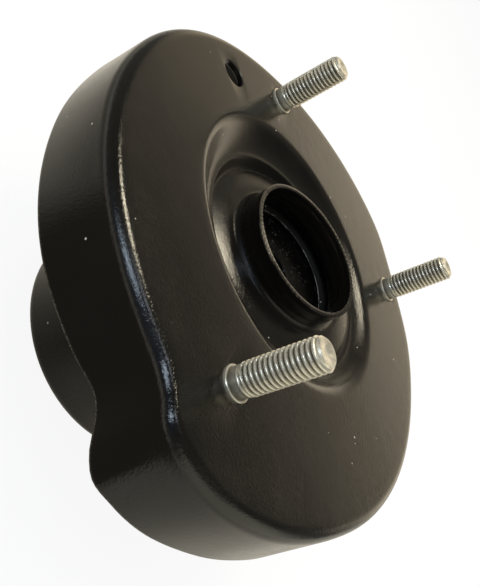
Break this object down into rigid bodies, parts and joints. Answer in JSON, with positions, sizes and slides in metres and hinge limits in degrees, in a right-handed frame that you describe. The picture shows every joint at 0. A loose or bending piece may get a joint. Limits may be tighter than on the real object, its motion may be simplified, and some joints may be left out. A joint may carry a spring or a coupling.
{
  "type": "strut mount",
  "caption": "Pressed steel strut mount with an oval skirted body, a tilted bore collar, threaded studs and a deep lower cup round a rubber-bonded rod seat.",
  "frame": {"origin": "under the middle of the body's outline, in the plane of the lower cup's base", "axes": "+Z along the studs, out of the mounting face; +Y towards the lobe beside stud_3"},
  "size_m": [0.1412, 0.1646, 0.0969],
  "materials": {
    "shell_paint": "black dip coat, semi-gloss",
    "cup_paint": "black dip coat, semi-gloss",
    "isolator_rubber": "moulded, matt black",
    "seat_steel": "dark phosphated steel",
    "stud_1_zinc": "zinc plated, pale yellow-green",
    "stud_2_zinc": "zinc plated, pale yellow-green",
    "stud_3_zinc": "zinc plated, pale yellow-green"
  },
  "bodies": {
    "root": {"upper_shell": "shell_paint", "lower_cup": "cup_paint", "rubber_isolator": "isolator_rubber", "rod_seat": "seat_steel", "stud_1": "stud_1_zinc", "stud_2": "stud_2_zinc", "stud_3": "stud_3_zinc"}
  },
  "joints": []
}
